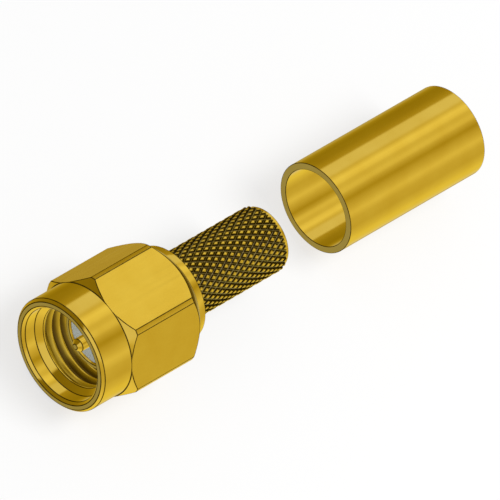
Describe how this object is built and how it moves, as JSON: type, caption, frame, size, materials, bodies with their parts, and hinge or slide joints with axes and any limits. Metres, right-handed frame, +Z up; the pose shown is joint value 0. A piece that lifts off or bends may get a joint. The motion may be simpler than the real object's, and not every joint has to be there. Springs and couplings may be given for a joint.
{
  "type": "sma connector",
  "caption": "SMA plug with a male centre contact and a hexagonal coupling nut, for crimping to an RG-58 size coaxial cable, with its crimp ferrule.",
  "frame": {"origin": "centre of the outer contact's rim, the mating reference plane, on the connector's axis", "axes": "+X along the axis from the mouth to the cable, +Z up with one flat of the coupling nut underneath"},
  "size_m": [0.0352, 0.009, 0.008],
  "materials": {
    "gold_nut": "gold plated, turned",
    "gold_shell": "gold plated, turned and knurled",
    "gold_contact": "gold plated, turned",
    "gold_ferrule": "gold plated, drawn tube",
    "ptfe": "matt white PTFE",
    "spring_bronze": "bare spring bronze",
    "silicone": "matt silicone"
  },
  "bodies": {
    "plug": {"shell": "gold_shell", "insulator": "ptfe", "centre_contact": "gold_contact", "snap_ring": "spring_bronze", "gasket": "silicone"},
    "nut": {"coupling_nut": "gold_nut"},
    "ferrule": {"crimp_ferrule": "gold_ferrule"}
  },
  "joints": [
    {"name": "nut_spin", "type": "hinge", "parent": "plug", "child": "nut", "pos_m": [0.003, 0, 0], "axis": [1, 0, 0], "continuous": true},
    {"name": "ferrule_slide", "type": "slide", "parent": "plug", "child": "ferrule", "axis": [1, 0, 0], "range_m": [-0.0131, 0]}
  ]
}
